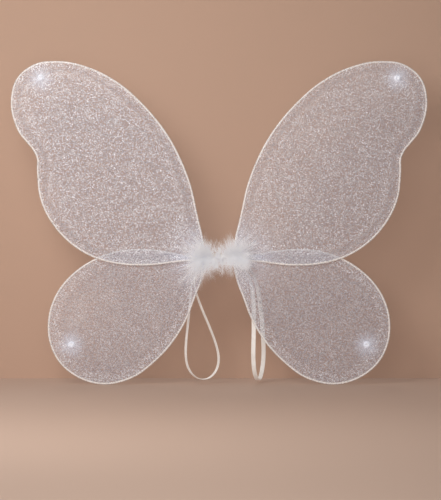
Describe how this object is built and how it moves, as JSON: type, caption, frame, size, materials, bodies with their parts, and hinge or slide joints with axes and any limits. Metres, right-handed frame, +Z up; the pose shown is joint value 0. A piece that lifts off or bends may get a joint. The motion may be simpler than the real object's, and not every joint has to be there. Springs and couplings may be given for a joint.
{
  "type": "fairy wings",
  "caption": "Dress-up fairy wings: covered-wire loops sleeved in sheer glitter net, bound at a taped hub under a marabou trim, with flat elastic arm loops behind.",
  "frame": {"origin": "centre of the taped hub, where the wings are held against the wearer's back", "axes": "+X to the viewer's right across the span, +Z up, +Y towards the wearer's back and -Y out of the decorated face"},
  "size_m": [0.5656, 0.0765, 0.4398],
  "materials": {
    "covered_wire": "steel wire wrapped in white fibre, matt",
    "glitter_net": "sheer white nylon net coated with fine silver glitter",
    "thread": "white sewing thread, slight sheen",
    "tape": "white cloth tape, matt",
    "down": "white marabou down, soft",
    "elastic": "white braided flat elastic, fine ribs"
  },
  "bodies": {
    "hub": {"hub_tape": "tape", "left_wire_tails": "covered_wire", "right_wire_tails": "covered_wire", "marabou_string": "thread", "marabou_down": "down"},
    "upper_left_wing": {"upper_left_wire": "covered_wire", "upper_left_sleeve": "glitter_net", "upper_left_root_thread": "thread", "upper_left_tip_gather": "glitter_net", "upper_left_tip_thread": "thread"},
    "lower_left_wing": {"lower_left_wire": "covered_wire", "lower_left_sleeve": "glitter_net", "lower_left_root_thread": "thread", "lower_left_tip_gather": "glitter_net", "lower_left_tip_thread": "thread"},
    "left_arm_loop": {"left_elastic_hitch": "elastic", "left_elastic_loop": "elastic"},
    "upper_right_wing": {"upper_right_wire": "covered_wire", "upper_right_sleeve": "glitter_net", "upper_right_root_thread": "thread", "upper_right_tip_gather": "glitter_net", "upper_right_tip_thread": "thread"},
    "lower_right_wing": {"lower_right_wire": "covered_wire", "lower_right_sleeve": "glitter_net", "lower_right_root_thread": "thread", "lower_right_tip_gather": "glitter_net", "lower_right_tip_thread": "thread"},
    "right_arm_loop": {"right_elastic_hitch": "elastic", "right_elastic_loop": "elastic"}
  },
  "joints": [
    {"name": "left_wing_fold", "type": "hinge", "parent": "hub", "child": "lower_left_wing", "pos_m": [-0.0155, 0, 0], "axis": [0, 0, 1], "range_deg": [-6, 70]},
    {"name": "left_upper_bend", "type": "hinge", "parent": "lower_left_wing", "child": "upper_left_wing", "pos_m": [-0.0155, 0, 0], "axis": [0, 0, 1], "range_deg": [0, 15]},
    {"name": "left_arm_swing", "type": "hinge", "parent": "hub", "child": "left_arm_loop", "pos_m": [-0.005, 0, 0], "axis": [1, 0, 0], "range_deg": [0, 80]},
    {"name": "right_wing_fold", "type": "hinge", "parent": "hub", "child": "lower_right_wing", "pos_m": [0.0155, 0, 0], "axis": [0, 0, -1], "range_deg": [-6, 70]},
    {"name": "right_upper_bend", "type": "hinge", "parent": "lower_right_wing", "child": "upper_right_wing", "pos_m": [0.0155, 0, 0], "axis": [0, 0, -1], "range_deg": [0, 15]},
    {"name": "right_arm_swing", "type": "hinge", "parent": "hub", "child": "right_arm_loop", "pos_m": [0.005, 0, 0], "axis": [1, 0, 0], "range_deg": [0, 80]}
  ]
}
